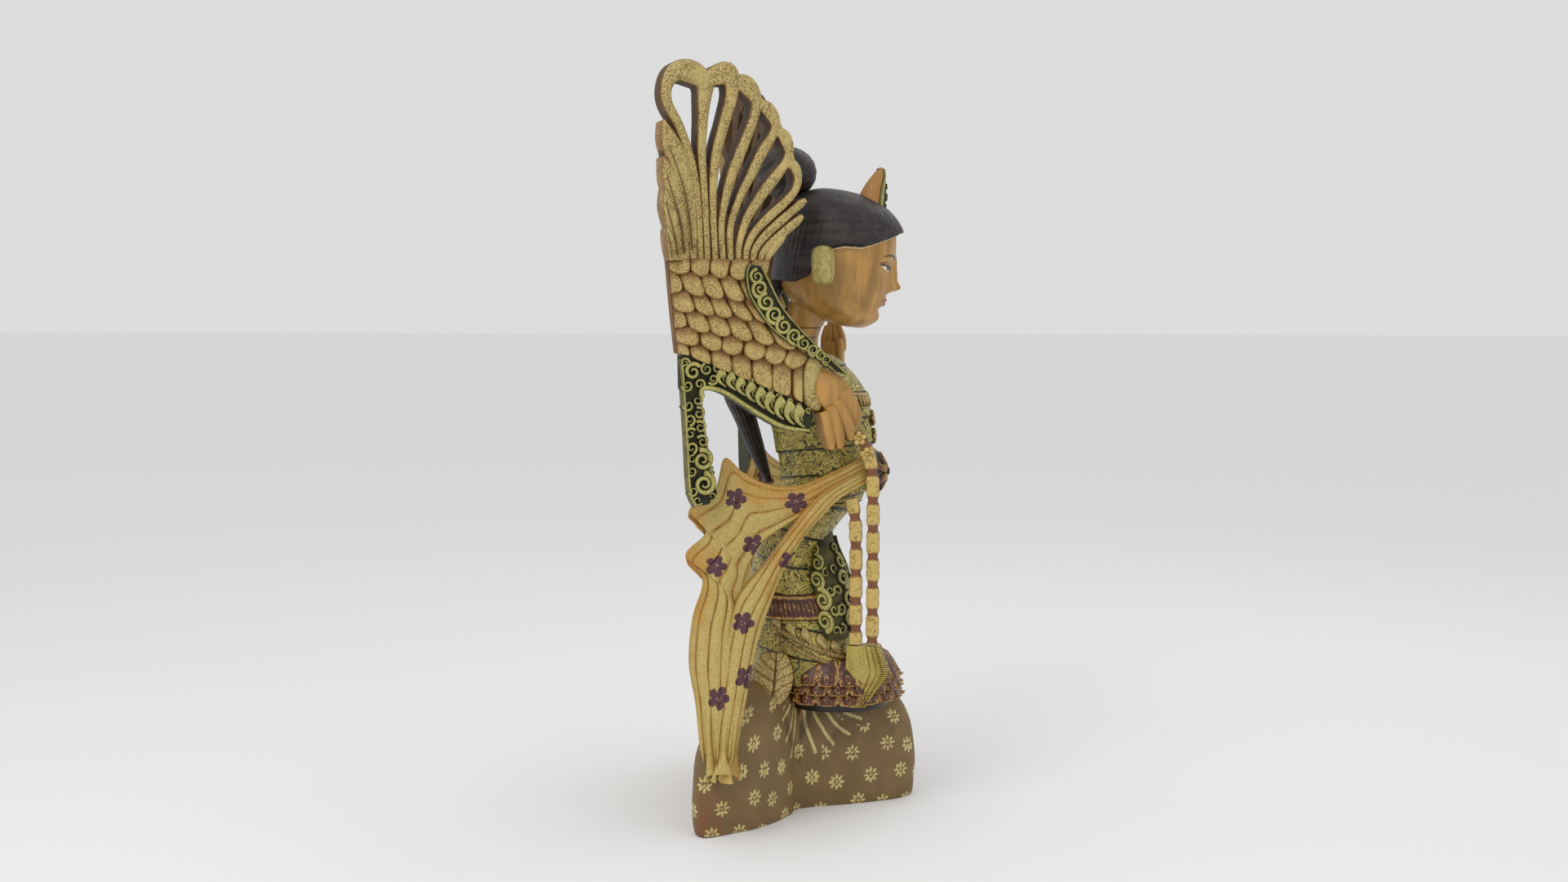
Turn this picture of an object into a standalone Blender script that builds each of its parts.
"""Painted wood carving of a winged dancer on a draped plinth, as an assembly of separate carved pieces.

Units are metres, +Z is up, and the origin is on the ground under the middle of the carving.
The plinth faces -Y. The dancer stands turned a little to her left on it, so her own pieces are placed
in her frame (side, forward, up) and turned by TWIST. Her right side is at -X. Each wing lies in its own
upright plane, and its pieces are outlined in that plane: along it from its rear edge, and up.
"""

import math

import bmesh
import bpy
from mathutils import Matrix, Vector

HEIGHT = 0.81
TWIST = math.radians(7)
MIDDLE_FORWARD = 0.0105
GAP = 0.0003
MERGE_DISTANCE = 0.00001
RING_POINTS = 20

WING_THICKNESS = 0.028
BORDER_THICKNESS = 0.014
COLLAR_THICKNESS = 0.006
CUFF_THICKNESS = 0.018
RIGHT_WING_REAR = (-0.180, -0.084)
RIGHT_WING_ANGLE = math.radians(35)
LEFT_WING_REAR = (0.190, -0.110)
LEFT_WING_ANGLE = math.radians(48)
SPLIT_HEIGHT = 0.6015
PEG_RADIUS = 0.004
DOWEL_RADIUS = 0.006
SASH_THICKNESS = 0.014
SASH_COLUMNS = 5
RIBBON_WIDTH = 0.015
RIBBON_THICKNESS = 0.011
TASSEL_SIDES = (-0.066, -0.044)
FACE_OPENING_SLOPE = math.radians(40)
TRAIN_LEAF_LEAN = math.radians(24)

PIECES = bpy.data.collections.new("winged_dancer_carving")
CUTTERS = bpy.data.collections.new("cutters")


def clear_scene():
    for old in list(bpy.data.objects):
        bpy.data.objects.remove(old)
    for collection in (PIECES, CUTTERS):
        bpy.context.scene.collection.children.link(collection)
    CUTTERS.hide_render = True


# Frames ------------------------------------------------------------------------------------------


def block(side, forward, up):
    """A point in the plinth's frame."""
    return Vector((side, MIDDLE_FORWARD - forward, up))


def dancer(side, forward, up):
    """A point in the dancer's frame, which is turned by TWIST to her left."""
    return block(
        side * math.cos(TWIST) + forward * math.sin(TWIST),
        forward * math.cos(TWIST) - side * math.sin(TWIST),
        up,
    )


class Wing:
    """The upright plane of one wing's outer face. Depth counts from that face into the wing."""

    def __init__(self, hand, rear, angle):
        self.hand = hand
        self.rear = rear
        self.along = (-hand * math.sin(angle), math.cos(angle))
        self.inward = (-hand * math.cos(angle), -math.sin(angle))

    def at(self, along, up, depth=0.0):
        return block(
            self.rear[0] + along * self.along[0] + depth * self.inward[0],
            self.rear[1] + along * self.along[1] + depth * self.inward[1],
            up,
        )

    def matrix(self, depth):
        """Turns a flat drawing (along, up) into this plane, at a depth."""
        across = self.at(1, 0) - self.at(0, 0)
        rise = Vector((0, 0, 1))
        turn = Matrix((across, rise, across.cross(rise))).transposed()
        return Matrix.Translation(self.at(0, 0, depth)) @ turn.to_4x4()


RIGHT_WING = Wing(-1, RIGHT_WING_REAR, RIGHT_WING_ANGLE)
LEFT_WING = Wing(1, LEFT_WING_REAR, LEFT_WING_ANGLE)


# Materials ---------------------------------------------------------------------------------------


def paint(name, colour, roughness=0.6, metallic=0.0):
    material = bpy.data.materials.new(name)
    material.use_nodes = True
    shader = material.node_tree.nodes["Principled BSDF"]
    shader.inputs["Base Color"].default_value = (*colour, 1)
    shader.inputs["Roughness"].default_value = roughness
    shader.inputs["Metallic"].default_value = metallic
    material.diffuse_color = (*colour, 1)
    return material


def finish(piece, material, smooth=True):
    """Every piece has a material of its own, so that one can be repainted alone."""
    own = material.copy()
    own.name = piece.name + "_paint"
    piece.data.materials.clear()
    piece.data.materials.append(own)
    if smooth:
        piece.data.shade_smooth()
    return piece


# Making solids -----------------------------------------------------------------------------------


def add_mesh(name, mesh, collection=None):
    piece = bpy.data.objects.new(name, mesh)
    (collection or PIECES).objects.link(piece)
    return piece


def from_bmesh(name, shape, collection=None):
    """Makes the object, with all faces turned outwards."""
    bmesh.ops.recalc_face_normals(shape, faces=shape.faces)
    if shape.calc_volume(signed=True) < 0:
        bmesh.ops.reverse_faces(shape, faces=shape.faces)
    bmesh.ops.triangulate(shape, faces=shape.faces)
    mesh = bpy.data.meshes.new(name)
    shape.to_mesh(mesh)
    shape.free()
    return add_mesh(name, mesh, collection)


def loft(name, frame, rings, points=RING_POINTS):
    """Joins level ellipses (side, forward, up, half width, half depth) with walls and closes both ends."""
    shape = bmesh.new()
    loops = []
    for side, forward, up, half_width, half_depth in rings:
        angles = [2 * math.pi * step / points for step in range(points)]
        loops.append(
            [
                shape.verts.new(
                    frame(side + half_width * math.cos(a), forward + half_depth * math.sin(a), up)
                )
                for a in angles
            ]
        )
    join_loops(shape, loops)
    return from_bmesh(name, shape)


def join_loops(shape, loops):
    for lower, upper in zip(loops, loops[1:]):
        for here in range(len(lower)):
            there = (here + 1) % len(lower)
            shape.faces.new((lower[here], lower[there], upper[there], upper[here]))
    shape.faces.new(reversed(loops[0]))
    shape.faces.new(loops[-1])


def tube(name, path, sides=14):
    """Carries an oval section along points that each hold (place, radius across, radius up).

    The section keeps its turn: at each point the last one's sideways direction is laid flat again.
    """
    shape = bmesh.new()
    loops = []
    places = [place for place, _, _ in path]
    across = Vector((1, 0, 0))
    for index, (place, across_radius, up_radius) in enumerate(path):
        before = places[max(index - 1, 0)]
        after = places[min(index + 1, len(places) - 1)]
        direction = (after - before).normalized()
        across = (across - direction * across.dot(direction)).normalized()
        rise = direction.cross(across)
        angles = [2 * math.pi * step / sides for step in range(sides)]
        loops.append(
            [
                shape.verts.new(
                    place + across * across_radius * math.cos(a) + rise * up_radius * math.sin(a)
                )
                for a in angles
            ]
        )
    join_loops(shape, loops)
    return from_bmesh(name, shape)


def sheet(name, frame, rows, thickness):
    """A carved cloth: rows of (side, forward, up) points joined in a grid, then given thickness."""
    shape = bmesh.new()
    grid = [[shape.verts.new(frame(*point)) for point in row] for row in rows]
    for row, following in zip(grid, grid[1:]):
        for here in range(len(row) - 1):
            shape.faces.new((row[here], row[here + 1], following[here + 1], following[here]))
    piece = from_bmesh(name, shape)
    wall = piece.modifiers.new("thickness", "SOLIDIFY")
    wall.thickness = thickness
    wall.offset = 0
    wall.use_even_offset = False
    return piece


def drawn_plate(name, outline, holes, matrix, thickness):
    """A flat outline with its openings, as a filled 2D curve given thickness, then made a mesh."""
    curve = bpy.data.curves.new(name, "CURVE")
    curve.dimensions = "2D"
    curve.fill_mode = "BOTH"
    curve.extrude = thickness / 2
    for points in (outline, *holes):
        spline = curve.splines.new("POLY")
        spline.points.add(len(points) - 1)
        for point, (along, up) in zip(spline.points, points):
            point.co = (along, up, 0, 1)
        spline.use_cyclic_u = True
    drawing = bpy.data.objects.new(name + "_drawing", curve)
    CUTTERS.objects.link(drawing)
    bpy.context.view_layer.update()
    graph = bpy.context.evaluated_depsgraph_get()
    mesh = bpy.data.meshes.new_from_object(drawing.evaluated_get(graph))
    bpy.data.objects.remove(drawing)
    shape = bmesh.new()
    shape.from_mesh(mesh)
    bmesh.ops.remove_doubles(shape, verts=shape.verts, dist=MERGE_DISTANCE)
    shape.transform(matrix)
    return from_bmesh(name, shape)


def wing_plate(name, wing, outline, thickness, depth=0.0, holes=()):
    """A board of a wing, its outer face at the given depth behind the wing's outer face."""
    return drawn_plate(name, outline, holes, wing.matrix(depth + thickness / 2), thickness)


def rod(name, start, end, radius, collection=None, sides=16):
    """A straight round peg between two points."""
    shape = bmesh.new()
    bmesh.ops.create_cone(
        shape, cap_ends=True, segments=sides, radius1=radius, radius2=radius, depth=(end - start).length
    )
    turn = (end - start).to_track_quat("Z", "Y").to_matrix().to_4x4()
    shape.transform(Matrix.Translation((start + end) / 2) @ turn)
    return from_bmesh(name, shape, collection)


def ball(name, centre, radii, segments=20, rings=12):
    shape = bmesh.new()
    bmesh.ops.create_uvsphere(shape, u_segments=segments, v_segments=rings, radius=1)
    shape.transform(Matrix.Translation(centre) @ Matrix.Diagonal((*radii, 1)))
    return from_bmesh(name, shape)


# Fitting pieces to each other --------------------------------------------------------------------


def bake(piece):
    """Applies a piece's modifiers, so that it can serve as a cutter of the next."""
    bpy.context.view_layer.update()
    graph = bpy.context.evaluated_depsgraph_get()
    mesh = bpy.data.meshes.new_from_object(piece.evaluated_get(graph))
    piece.modifiers.clear()
    shape = bmesh.new()
    shape.from_mesh(mesh)
    bmesh.ops.triangulate(shape, faces=shape.faces)
    shape.to_mesh(mesh)
    shape.free()
    piece.data = mesh


def swollen(piece, allowance):
    """A cutter of the same shape as a piece, larger all round by the allowance."""
    bake(piece)
    shape = bmesh.new()
    shape.from_mesh(piece.data)
    bmesh.ops.remove_doubles(shape, verts=shape.verts, dist=MERGE_DISTANCE)
    shape.normal_update()
    moves = [(vert, vert.normal * allowance * vert.calc_shell_factor()) for vert in shape.verts]
    for vert, move in moves:
        vert.co += move
    return from_bmesh(piece.name + "_clearance", shape, CUTTERS)


def cut(piece, cutter):
    cutter.hide_render = True
    cutter.display_type = "WIRE"
    difference = piece.modifiers.new("seat_" + cutter.name, "BOOLEAN")
    difference.operation = "DIFFERENCE"
    difference.solver = "EXACT"
    difference.object = cutter
    bake(piece)


def seat(piece, *others, allowance=2 * GAP):
    """Cuts each neighbour's shape out of a piece, with a little clearance."""
    for other in others:
        cut(piece, swollen(other, allowance))


def keep_main_body(piece):
    """Drops crumbs that a cut left apart from the main body."""
    shape = bmesh.new()
    shape.from_mesh(piece.data)
    bmesh.ops.remove_doubles(shape, verts=shape.verts, dist=MERGE_DISTANCE)
    unseen = set(shape.verts)
    bodies = []
    while unseen:
        group, front = set(), [unseen.pop()]
        while front:
            vert = front.pop()
            group.add(vert)
            for edge in vert.link_edges:
                other = edge.other_vert(vert)
                if other in unseen:
                    unseen.remove(other)
                    front.append(other)
        bodies.append(group)
    bodies.sort(key=len)
    for group in bodies[:-1]:
        bmesh.ops.delete(shape, geom=list(group), context="VERTS")
    shape.to_mesh(piece.data)
    shape.free()


def pin(name, start, end, radius, *holders):
    """A glued peg, with its hole in each piece that it joins."""
    peg = rod(name, start, end, radius)
    reach = (end - start).normalized() * GAP * 2
    for holder in holders:
        hole = rod(name + "_hole_in_" + holder.name, start - reach, end + reach, radius + GAP, CUTTERS)
        cut(holder, hole)
    return finish(peg, BARE_WOOD)


# Paints ------------------------------------------------------------------------------------------

clear_scene()
BARE_WOOD = paint("bare_wood", (0.34, 0.20, 0.09), 0.7)
CLOTH_BROWN = paint("plinth_brown", (0.115, 0.075, 0.035), 0.55)
PALE_GOLD = paint("pale_gold", (0.55, 0.41, 0.15), 0.5)
GREEN_GOLD = paint("green_gold", (0.32, 0.30, 0.08), 0.5)
SKIN = paint("skin", (0.42, 0.22, 0.06), 0.45)
HAIR_BLACK = paint("hair_black", (0.02, 0.015, 0.012), 0.5)
SASH_YELLOW = paint("sash_yellow", (0.58, 0.38, 0.11), 0.5)
DARK_RED = paint("dark_red", (0.16, 0.03, 0.02), 0.5)
RED_GOLD = paint("red_gold", (0.30, 0.16, 0.06), 0.5)


# Plinth and dress --------------------------------------------------------------------------------

PLINTH_OUTLINE = [
    (0.040, 0.1415),
    (0.020, 0.131),
    (0.004, 0.113),
    (-0.0186, 0.081),
    (-0.038, 0.048),
    (-0.055, 0.030),
    (-0.080, 0.0275),
    (-0.110, 0.020),
    (-0.140, 0.006),
    (-0.166, -0.016),
    (-0.186, -0.036),
    (-0.176, -0.052),
    (-0.145, -0.060),
    (-0.100, -0.066),
    (-0.050, -0.067),
    (0.000, -0.064),
    (0.050, -0.067),
    (0.100, -0.066),
    (0.145, -0.060),
    (0.176, -0.052),
    (0.186, -0.036),
    (0.166, -0.016),
    (0.140, 0.006),
    (0.110, 0.020),
    (0.084, 0.030),
    (0.073, 0.044),
    (0.078, 0.070),
    (0.084, 0.098),
    (0.078, 0.122),
    (0.062, 0.137),
]
PLINTH_LEVELS = [
    (0.000, 0.975),
    (0.006, 1.00),
    (0.045, 1.015),
    (0.075, 0.99),
    (0.100, 0.93),
    (0.120, 0.82),
    (0.136, 0.66),
    (0.148, 0.50),
    (0.156, 0.34),
]
PLINTH_CENTRE = (0.006, 0.012)


def make_plinth():
    """The draped cushion: its plan drawn smaller at each higher level."""
    shape = bmesh.new()
    loops = []
    for up, scale in PLINTH_LEVELS:
        loops.append(
            [
                shape.verts.new(
                    block(
                        PLINTH_CENTRE[0] + (side - PLINTH_CENTRE[0]) * scale,
                        PLINTH_CENTRE[1] + (forward - PLINTH_CENTRE[1]) * scale,
                        up,
                    )
                )
                for side, forward in PLINTH_OUTLINE
            ]
        )
    join_loops(shape, loops)
    return from_bmesh("plinth", shape)


def make_skirt():
    return loft(
        "skirt",
        dancer,
        [
            (0.000, 0.027, 0.140, 0.068, 0.062),
            (0.000, 0.026, 0.172, 0.068, 0.063),
            (0.000, 0.019, 0.205, 0.063, 0.056),
            (0.000, 0.010, 0.238, 0.063, 0.048),
            (0.000, 0.006, 0.270, 0.064, 0.041),
            (0.000, 0.012, 0.298, 0.061, 0.040),
            (0.000, 0.026, 0.322, 0.056, 0.044),
            (0.000, 0.039, 0.3397, 0.052, 0.049),
        ],
    )


def make_torso():
    return loft(
        "torso",
        dancer,
        [
            (0.000, 0.039, 0.340, 0.052, 0.049),
            (0.000, 0.0465, 0.362, 0.052, 0.050),
            (0.000, 0.0465, 0.390, 0.053, 0.0535),
            (0.000, 0.043, 0.420, 0.056, 0.057),
            (0.000, 0.035, 0.450, 0.064, 0.060),
            (0.000, 0.027, 0.475, 0.070, 0.056),
            (0.000, 0.022, 0.491, 0.063, 0.047),
            (0.000, 0.018, 0.503, 0.044, 0.034),
        ],
    )


def make_hem():
    return loft(
        "hem_petals",
        dancer,
        [
            (-0.004, 0.062, 0.112, 0.074, 0.073),
            (-0.004, 0.062, 0.128, 0.078, 0.079),
            (-0.003, 0.056, 0.146, 0.074, 0.073),
            (0.000, 0.040, 0.160, 0.066, 0.066),
            (0.000, 0.028, 0.172, 0.056, 0.056),
        ],
        points=28,
    )


def make_apron():
    return loft(
        "apron",
        dancer,
        [
            (-0.016, 0.058, 0.190, 0.040, 0.022),
            (-0.016, 0.056, 0.212, 0.044, 0.026),
            (-0.012, 0.048, 0.258, 0.040, 0.026),
            (-0.010, 0.043, 0.290, 0.030, 0.018),
            (-0.008, 0.046, 0.306, 0.018, 0.012),
        ],
    )


def make_girdle():
    return loft(
        "hip_girdle",
        dancer,
        [
            (0.000, 0.017, 0.212, 0.066, 0.060),
            (0.000, 0.015, 0.217, 0.069, 0.061),
            (0.000, 0.011, 0.236, 0.069, 0.056),
            (0.000, 0.010, 0.241, 0.066, 0.052),
        ],
        points=28,
    )


def make_train_leaf(name, hand):
    leaf = ball(name, Vector((0, 0, 0)), (0.012, 0.024, 0.031), 16, 10)
    leaf.data.transform(Matrix.Rotation(hand * TRAIN_LEAF_LEAN, 4, "Y"))
    leaf.data.transform(Matrix.Translation(dancer(hand * 0.080, -0.002, 0.150)))
    return leaf


def make_buckle():
    centre = dancer(0.0, 0.104, 0.372)
    knot = ball("waist_buckle", Vector((0, 0, 0)), (0.024, 0.013, 0.025), 20, 10)
    knot.data.transform(Matrix.Translation(centre) @ Matrix.Rotation(TWIST, 4, "Z"))
    return knot


# Head and hair -----------------------------------------------------------------------------------

HEAD_RINGS = [
    (0.000, 0.016, 0.5035, 0.0225, 0.0195),
    (0.000, 0.018, 0.525, 0.0215, 0.0195),
    (0.000, 0.046, 0.535, 0.028, 0.040),
    (0.000, 0.056, 0.548, 0.037, 0.052),
    (0.000, 0.060, 0.570, 0.044, 0.060),
    (0.000, 0.062, 0.600, 0.048, 0.067),
    (0.000, 0.062, 0.630, 0.049, 0.070),
    (0.000, 0.060, 0.652, 0.045, 0.064),
    (0.000, 0.056, 0.668, 0.035, 0.050),
    (0.000, 0.054, 0.676, 0.020, 0.030),
]
HAIR_RINGS = [
    (0.000, 0.010, 0.575, 0.026, 0.018),
    (0.000, 0.026, 0.582, 0.040, 0.033),
    (0.000, 0.057, 0.600, 0.053, 0.068),
    (0.000, 0.060, 0.628, 0.055, 0.074),
    (0.000, 0.060, 0.652, 0.052, 0.070),
    (0.000, 0.056, 0.670, 0.042, 0.057),
    (0.000, 0.053, 0.680, 0.025, 0.036),
]


def make_hair():
    """A cap of hair, cut open over the face along a plane from the forehead down to behind the ears."""
    hair = loft("hair", dancer, HAIR_RINGS, points=24)
    shape = bmesh.new()
    bmesh.ops.create_cube(shape, size=0.2)
    shape.transform(Matrix.Translation((0, -0.1, -0.1)))
    shape.transform(Matrix.Rotation(FACE_OPENING_SLOPE, 4, "X"))
    shape.transform(Matrix.Rotation(TWIST, 4, "Z"))
    shape.transform(Matrix.Translation(dancer(0, 0.040, 0.612)))
    cut(hair, from_bmesh("face_opening", shape, CUTTERS))
    return hair


def make_hair_tail():
    return loft(
        "hair_tail",
        dancer,
        [
            (0.000, -0.017, 0.359, 0.004, 0.0025),
            (0.000, -0.024, 0.375, 0.012, 0.0065),
            (0.000, -0.033, 0.400, 0.019, 0.0095),
            (0.000, -0.044, 0.430, 0.024, 0.0125),
            (0.000, -0.055, 0.460, 0.026, 0.0145),
            (0.000, -0.052, 0.500, 0.026, 0.0145),
            (0.000, -0.036, 0.540, 0.026, 0.0145),
            (0.000, -0.018, 0.568, 0.025, 0.0145),
            (0.000, -0.008, 0.584, 0.023, 0.012),
        ],
        points=16,
    )


def make_crest():
    return loft(
        "crest",
        dancer,
        [
            (0.000, 0.096, 0.650, 0.012, 0.012),
            (0.000, 0.098, 0.664, 0.019, 0.0165),
            (0.000, 0.100, 0.678, 0.018, 0.0165),
            (0.000, 0.103, 0.692, 0.013, 0.012),
            (0.000, 0.106, 0.704, 0.006, 0.0065),
            (0.000, 0.1075, 0.710, 0.002, 0.002),
        ],
        points=16,
    )


def make_ear_plug(name, hand):
    centre = (hand * 0.053, 0.050)
    levels = [(0.578, 0.008), (0.581, 0.0115), (0.600, 0.0128), (0.619, 0.0115), (0.622, 0.008)]
    return loft(name, dancer, [(*centre, up, radius, radius) for up, radius in levels], points=16)


# Arms --------------------------------------------------------------------------------------------


def make_right_arm():
    stations = [
        (-0.056, 0.006, 0.494, 0.011),
        (-0.068, 0.000, 0.482, 0.0145),
        (-0.071, 0.001, 0.462, 0.0145),
        (-0.067, 0.012, 0.449, 0.0140),
        (-0.058, 0.034, 0.453, 0.0135),
        (-0.056, 0.050, 0.463, 0.0125),
    ]
    return tube("right_arm", [(block(x, s, z), radius, radius) for x, s, z, radius in stations])


def make_right_hand():
    stations = [
        (-0.058, 0.0515, 0.476, 0.010, 0.012),
        (-0.061, 0.061, 0.474, 0.014, 0.018),
        (-0.061, 0.072, 0.463, 0.0145, 0.021),
        (-0.060, 0.080, 0.446, 0.0140, 0.021),
        (-0.058, 0.083, 0.428, 0.0130, 0.017),
        (-0.055, 0.083, 0.412, 0.0110, 0.012),
        (-0.054, 0.082, 0.402, 0.0060, 0.007),
    ]
    return tube("right_hand", [(block(x, s, z), across, rise) for x, s, z, across, rise in stations])


def make_left_arm():
    stations = [
        (0.058, 0.026, 0.482, 0.014),
        (0.079, 0.022, 0.462, 0.0145),
        (0.099, 0.026, 0.436, 0.0140),
        (0.105, 0.036, 0.424, 0.0135),
        (0.102, 0.042, 0.440, 0.0130),
        (0.092, 0.040, 0.470, 0.0115),
        (0.088, 0.038, 0.484, 0.0105),
    ]
    return tube("left_arm", [(block(x, s, z), radius, radius) for x, s, z, radius in stations])


def make_left_hand():
    levels = [
        (0.0875, 0.0375, 0.480, 0.009, 0.010),
        (0.087, 0.037, 0.492, 0.011, 0.014),
        (0.085, 0.036, 0.508, 0.0115, 0.0155),
        (0.083, 0.034, 0.524, 0.0105, 0.0135),
        (0.081, 0.032, 0.535, 0.006, 0.007),
    ]
    return loft("left_hand", block, levels, points=16)


# Sashes and ribbons ------------------------------------------------------------------------------

SASH_ROWS = [
    ((-0.047, 0.099, 0.394), (-0.047, 0.099, 0.367)),
    ((-0.069, 0.060, 0.386), (-0.067, 0.068, 0.352)),
    ((-0.088, 0.020, 0.383), (-0.082, 0.046, 0.324)),
    ((-0.100, -0.028, 0.381), (-0.088, 0.026, 0.297)),
    ((-0.108, -0.055, 0.352), (-0.092, 0.010, 0.270)),
    ((-0.114, -0.072, 0.310), (-0.096, 0.000, 0.238)),
    ((-0.120, -0.074, 0.262), (-0.103, -0.008, 0.205)),
    ((-0.130, -0.073, 0.210), (-0.118, -0.012, 0.170)),
    ((-0.144, -0.071, 0.155), (-0.134, -0.014, 0.132)),
    ((-0.157, -0.066, 0.105), (-0.152, -0.016, 0.095)),
    ((-0.166, -0.060, 0.062), (-0.163, -0.018, 0.060)),
]


def make_sash(name, hand):
    rows = []
    for rear, front in SASH_ROWS:
        rear, front = Vector(rear), Vector(front)
        points = [rear.lerp(front, step / (SASH_COLUMNS - 1)) for step in range(SASH_COLUMNS)]
        rows.append([(-hand * point.x, point.y, point.z) for point in points])
    return sheet(name, dancer, rows, SASH_THICKNESS)


def make_ribbon(name, path):
    """A straight-sided bar with its width along the forward direction."""
    shape = bmesh.new()
    loops = []
    for side, forward, up in path:
        corners = [(-1, -1), (1, -1), (1, 1), (-1, 1)]
        loops.append(
            [
                shape.verts.new(
                    dancer(side + i * RIBBON_THICKNESS / 2, forward + j * RIBBON_WIDTH / 2, up)
                )
                for i, j in corners
            ]
        )
    join_loops(shape, loops)
    return from_bmesh(name, shape)


def make_tassel():
    outline = [(0.076, 0.1865), (0.121, 0.1865), (0.134, 0.152), (0.104, 0.118), (0.080, 0.118)]
    shape = bmesh.new()
    loops = [[shape.verts.new(dancer(side, s, z)) for s, z in outline] for side in TASSEL_SIDES]
    join_loops(shape, loops)
    return from_bmesh("ribbon_tassel", shape)


# Wings -------------------------------------------------------------------------------------------

FAN_OUTLINE = [
    (0.012, SPLIT_HEIGHT),
    (0.005, 0.667),
    (0.001, 0.741),
    (0.004, 0.773),
    (0.015, 0.798),
    (0.036, HEIGHT - 0.0005),
    (0.057, 0.805),
    (0.076, HEIGHT),
    (0.092, 0.799),
    (0.110, 0.782),
    (0.123, 0.756),
    (0.135, 0.734),
    (0.145, 0.717),
    (0.150, 0.692),
    (0.156, 0.676),
    (0.165, 0.661),
    (0.160, 0.645),
    (0.141, 0.632),
    (0.132, 0.616),
    (0.125, SPLIT_HEIGHT),
]
FAN_OPENINGS = [
    [(0.016, 0.774), (0.029, 0.786), (0.038, 0.781), (0.042, 0.763), (0.039, 0.742), (0.034, 0.729)],
    [(0.059, 0.786), (0.073, 0.787), (0.067, 0.751), (0.053, 0.716), (0.050, 0.722), (0.056, 0.759)],
    [(0.088, 0.779), (0.099, 0.777), (0.102, 0.764), (0.096, 0.744), (0.068, 0.682), (0.066, 0.702)],
    [(0.110, 0.754), (0.118, 0.754), (0.123, 0.741), (0.105, 0.715), (0.079, 0.654), (0.079, 0.668)],
    [(0.128, 0.729), (0.136, 0.722), (0.135, 0.708), (0.118, 0.691), (0.087, 0.648), (0.088, 0.660)],
    [(0.140, 0.695), (0.147, 0.691), (0.145, 0.679), (0.127, 0.661), (0.095, 0.633), (0.109, 0.654)],
]
BORDER_TOP = [(0.022, 0.505), (0.049, 0.500), (0.082, 0.487), (0.118, 0.470), (0.145, 0.457), (0.160, 0.450)]
RIGHT_SLEEVE_FRONT = [
    (0.1575, 0.470),
    (0.160, 0.494),
    (0.170, 0.508),
    (0.150, 0.534),
    (0.132, 0.555),
    (0.118, 0.581),
    (0.125, SPLIT_HEIGHT - GAP),
]
LEFT_SLEEVE_FRONT = [
    (0.154, 0.480),
    (0.158, 0.505),
    (0.150, 0.534),
    (0.132, 0.555),
    (0.118, 0.581),
    (0.125, SPLIT_HEIGHT - GAP),
]
BORDER_UNDERSIDE = [(0.141, 0.424), (0.105, 0.442), (0.073, 0.462), (0.055, 0.468), (0.045, 0.467)]
RIGHT_BORDER_END = [(0.160, 0.4497), (0.172, 0.441), (0.174, 0.425), (0.166, 0.419)]
LEFT_BORDER_END = [(0.152, 0.4532), (0.158, 0.440), (0.154, 0.426)]
STRIP_OUTLINE = [
    (0.0447, 0.4665),
    (0.048, 0.433),
    (0.057, 0.382),
    (0.064, 0.360),
    (0.053, 0.346),
    (0.037, 0.344),
    (0.030, 0.361),
    (0.027, 0.416),
    (0.0215, 0.5040),
]
COLLAR_OUTLINE = [
    (0.096, 0.600),
    (0.109, 0.598),
    (0.118, 0.581),
    (0.132, 0.555),
    (0.150, 0.534),
    (0.173, 0.512),
    (0.169, 0.504),
    (0.145, 0.515),
    (0.123, 0.530),
    (0.109, 0.547),
    (0.096, 0.568),
    (0.093, 0.589),
]
RIGHT_COLLAR_TIP = [(0.196, 0.4915), (0.206, 0.4825), (0.192, 0.486)]
CUFF_OUTLINE = [
    (0.1705, 0.5075),
    (0.186, 0.4950),
    (0.179, 0.482),
    (0.1745, 0.465),
    (0.182, 0.449),
    (0.176, 0.4415),
    (0.1605, 0.4502),
    (0.1579, 0.470),
    (0.1604, 0.4937),
]


def make_coverts(name, wing, front):
    top = [(0.012, SPLIT_HEIGHT - GAP), (0.017, 0.551)]
    under = [(along, up + GAP) for along, up in BORDER_TOP if along < front[0][0] + 0.003]
    return wing_plate(name, wing, top + under + front, WING_THICKNESS)


def make_border(name, wing, end):
    top = [point for point in BORDER_TOP if point[0] < end[0][0]]
    return wing_plate(name, wing, top + end + BORDER_UNDERSIDE, BORDER_THICKNESS)


def make_collar(name, wing, tip):
    outline = COLLAR_OUTLINE[:6] + tip + COLLAR_OUTLINE[6:]
    return wing_plate(name, wing, outline, COLLAR_THICKNESS, -COLLAR_THICKNESS - GAP)


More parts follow.
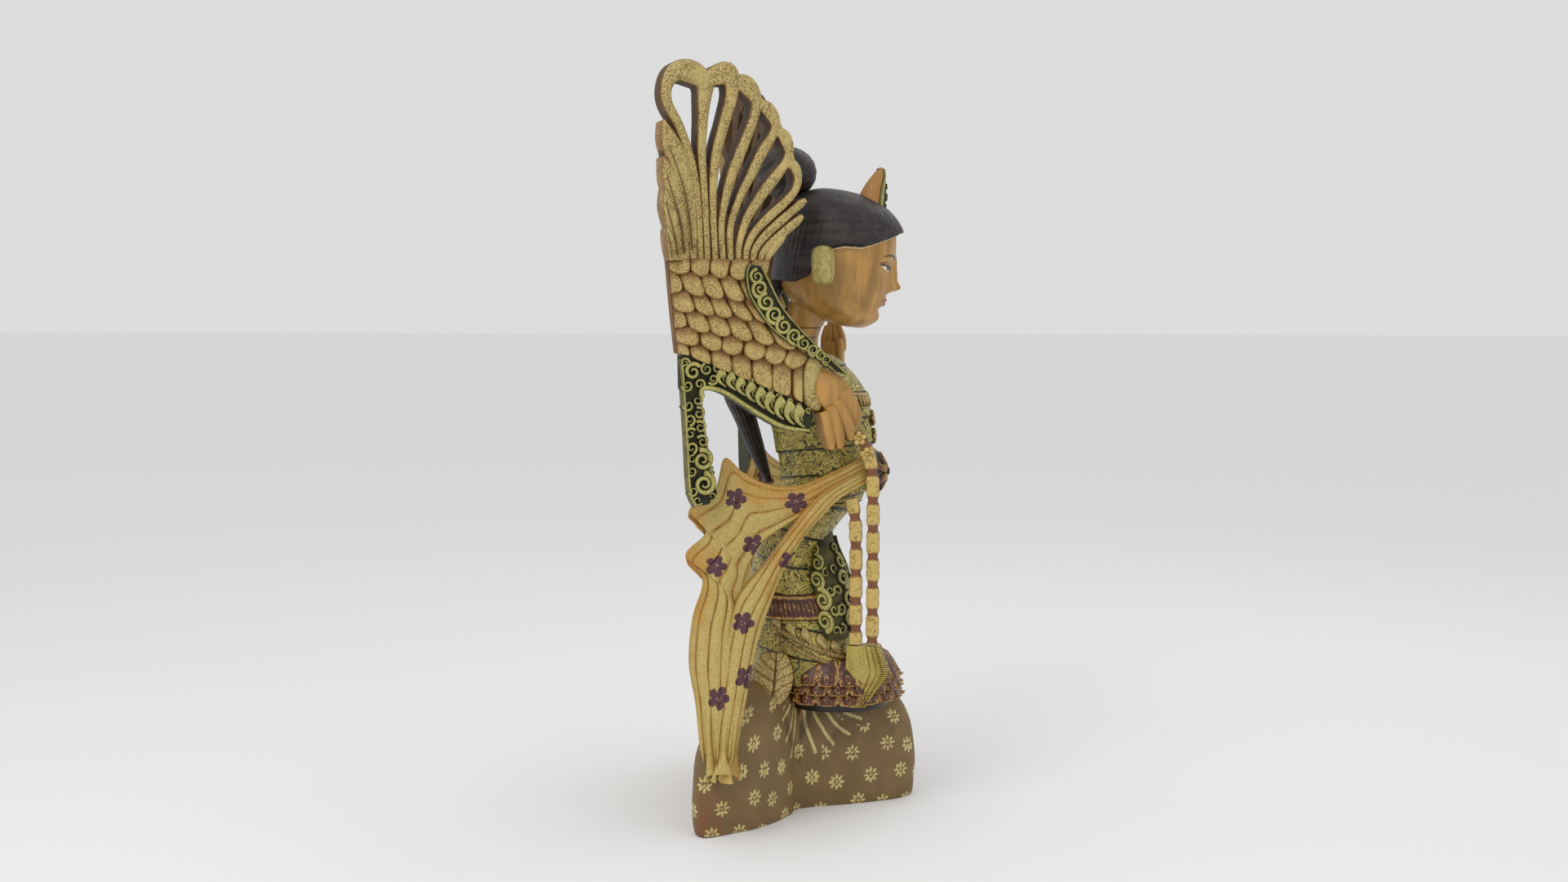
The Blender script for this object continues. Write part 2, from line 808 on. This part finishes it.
def build():
    plinth = make_plinth()
    torso = make_torso()
    skirt = make_skirt()
    seat(skirt, plinth)
    hem = make_hem()
    seat(hem, plinth, skirt)
    keep_main_body(hem)
    apron = make_apron()
    seat(apron, skirt, hem)
    keep_main_body(apron)
    girdle = make_girdle()
    seat(girdle, skirt, apron)
    keep_main_body(girdle)
    leaves = []
    for name, hand in (("right_train_leaf", -1), ("left_train_leaf", 1)):
        leaf = make_train_leaf(name, hand)
        seat(leaf, plinth, skirt, hem)
        keep_main_body(leaf)
        leaves.append(leaf)

    head = make_head_and_hair(torso)
    right_boards, left_boards = make_right_boards(), make_left_boards()
    arms = make_arms(torso, head, [*right_boards.values(), *left_boards.values()])
    buckle = make_buckle()
    seat(buckle, torso)
    keep_main_body(buckle)

    for name, hand in (("right_sash", -1), ("left_sash", 1)):
        sash = make_sash(name, hand)
        bake(sash)
        seat(sash, torso, skirt, girdle, buckle, *arms, *leaves)
        seat(plinth, sash)
        keep_main_body(sash)
        finish(sash, SASH_YELLOW)

    make_ribbons(hem, arms)
    fit_plinth_dowels(plinth, skirt)
    peg_wings(right_boards, left_boards, torso, arms[0])
    finish_boards(right_boards)
    finish_boards(left_boards)
    finish(plinth, CLOTH_BROWN)
    finish(skirt, GREEN_GOLD)
    finish(torso, GREEN_GOLD)
    finish(hem, DARK_RED)
    finish(apron, GREEN_GOLD)
    finish(girdle, RED_GOLD)
    finish(buckle, DARK_RED)
    for leaf in leaves:
        finish(leaf, PALE_GOLD)


def make_head_and_hair(torso):
    head = loft("head", dancer, HEAD_RINGS, points=24)
    hair = make_hair()
    seat(hair, head)
    keep_main_body(hair)
    bun = ball("hair_bun", dancer(0.0, 0.003, 0.704), (0.030, 0.033, 0.029))
    seat(bun, hair, head)
    keep_main_body(bun)
    tail = make_hair_tail()
    seat(tail, hair, head, torso)
    keep_main_body(tail)
    crest = make_crest()
    seat(crest, hair, head)
    keep_main_body(crest)
    for name, hand in (("right_ear_plug", -1), ("left_ear_plug", 1)):
        plug = make_ear_plug(name, hand)
        seat(plug, head, hair)
        keep_main_body(plug)
        finish(plug, PALE_GOLD)
    pin("neck_dowel", dancer(0, 0.017, 0.470), dancer(0, 0.017, 0.532), DOWEL_RADIUS, torso, head)
    pin("bun_peg", dancer(0, 0.040, 0.640), dancer(0, 0.008, 0.702), PEG_RADIUS, head, hair, bun)
    pin("crest_peg", dancer(0, 0.094, 0.635), dancer(0, 0.101, 0.684), PEG_RADIUS, head, hair, crest)
    finish(head, SKIN)
    finish(crest, PALE_GOLD)
    for piece in (hair, bun, tail):
        finish(piece, HAIR_BLACK)
    return head


def make_arms(torso, head, boards):
    right_hand = make_right_hand()
    right_arm = make_right_arm()
    left_hand = make_left_hand()
    left_arm = make_left_arm()
    arms = [right_arm, right_hand, left_arm, left_hand]
    seat(torso, *arms)
    keep_main_body(torso)
    seat(right_arm, right_hand)
    seat(left_arm, left_hand)
    seat(left_hand, head)
    for piece in arms:
        seat(piece, *boards)
        keep_main_body(piece)
    for piece in arms:
        finish(piece, SKIN)
    return arms


def make_ribbons(hem, arms):
    front = make_ribbon(
        "ribbon_front",
        [
            (-0.060, 0.1055, 0.188),
            (-0.060, 0.1060, 0.340),
            (-0.060, 0.1055, 0.375),
            (-0.060, 0.1010, 0.398),
            (-0.059, 0.0930, 0.4135),
        ],
    )
    rear = make_ribbon("ribbon_rear", [(-0.060, 0.0875, 0.188), (-0.060, 0.0875, 0.335)])
    tassel = make_tassel()
    sash = bpy.data.objects["right_sash"]
    seat(front, sash, *arms)
    seat(rear, sash)
    seat(tassel, hem)
    for piece in (front, rear, tassel):
        keep_main_body(piece)
        finish(piece, SASH_YELLOW, smooth=False)


def fit_plinth_dowels(plinth, skirt):
    for name, forward in (("front_plinth_dowel", 0.048), ("rear_plinth_dowel", 0.000)):
        pin(name, dancer(0, forward, 0.105), dancer(0, forward, 0.195), DOWEL_RADIUS, plinth, skirt)


def make_right_boards():
    return {
        "fan": wing_plate("right_wing_fan", RIGHT_WING, FAN_OUTLINE, WING_THICKNESS, holes=FAN_OPENINGS),
        "coverts": make_coverts("right_wing_coverts", RIGHT_WING, RIGHT_SLEEVE_FRONT),
        "border": make_border("right_leaf_border", RIGHT_WING, RIGHT_BORDER_END),
        "strip": wing_plate("right_tail_strip", RIGHT_WING, STRIP_OUTLINE, BORDER_THICKNESS),
        "collar": make_collar("right_collar", RIGHT_WING, RIGHT_COLLAR_TIP),
        "cuff": wing_plate("right_cuff", RIGHT_WING, CUFF_OUTLINE, CUFF_THICKNESS),
    }


def make_left_boards():
    return {
        "fan": wing_plate("left_wing_fan", LEFT_WING, FAN_OUTLINE, WING_THICKNESS, holes=FAN_OPENINGS),
        "coverts": make_coverts("left_wing_coverts", LEFT_WING, LEFT_SLEEVE_FRONT),
        "border": make_border("left_leaf_border", LEFT_WING, LEFT_BORDER_END),
        "strip": wing_plate("left_tail_strip", LEFT_WING, STRIP_OUTLINE, BORDER_THICKNESS),
        "collar": make_collar("left_collar", LEFT_WING, []),
    }


def peg_wings(right, left, torso, right_arm):
    """The right wing's pegs run along X into the arm, and the left wing's run out of its front edge."""
    for name, up, holder, outer in (
        ("right_wing_upper_peg", 0.489, right["coverts"], -0.1080),
        ("right_wing_lower_peg", 0.457, right["border"], -0.1135),
    ):
        pin(name, block(outer, 0.001, up), block(-0.070, 0.001, up), PEG_RADIUS, holder, right_arm)
    middle = WING_THICKNESS / 2
    for name, up in (("left_wing_upper_peg", 0.493), ("left_wing_lower_peg", 0.474)):
        outer_end, inner_end = LEFT_WING.at(0.128, up, middle), LEFT_WING.at(0.178, up, middle)
        pin(name, outer_end, inner_end, PEG_RADIUS, left["coverts"], torso)


def finish_boards(boards):
    paints = {"fan": PALE_GOLD, "coverts": PALE_GOLD, "cuff": PALE_GOLD}
    for part, board in boards.items():
        finish(board, paints.get(part, GREEN_GOLD), smooth=False)


build()
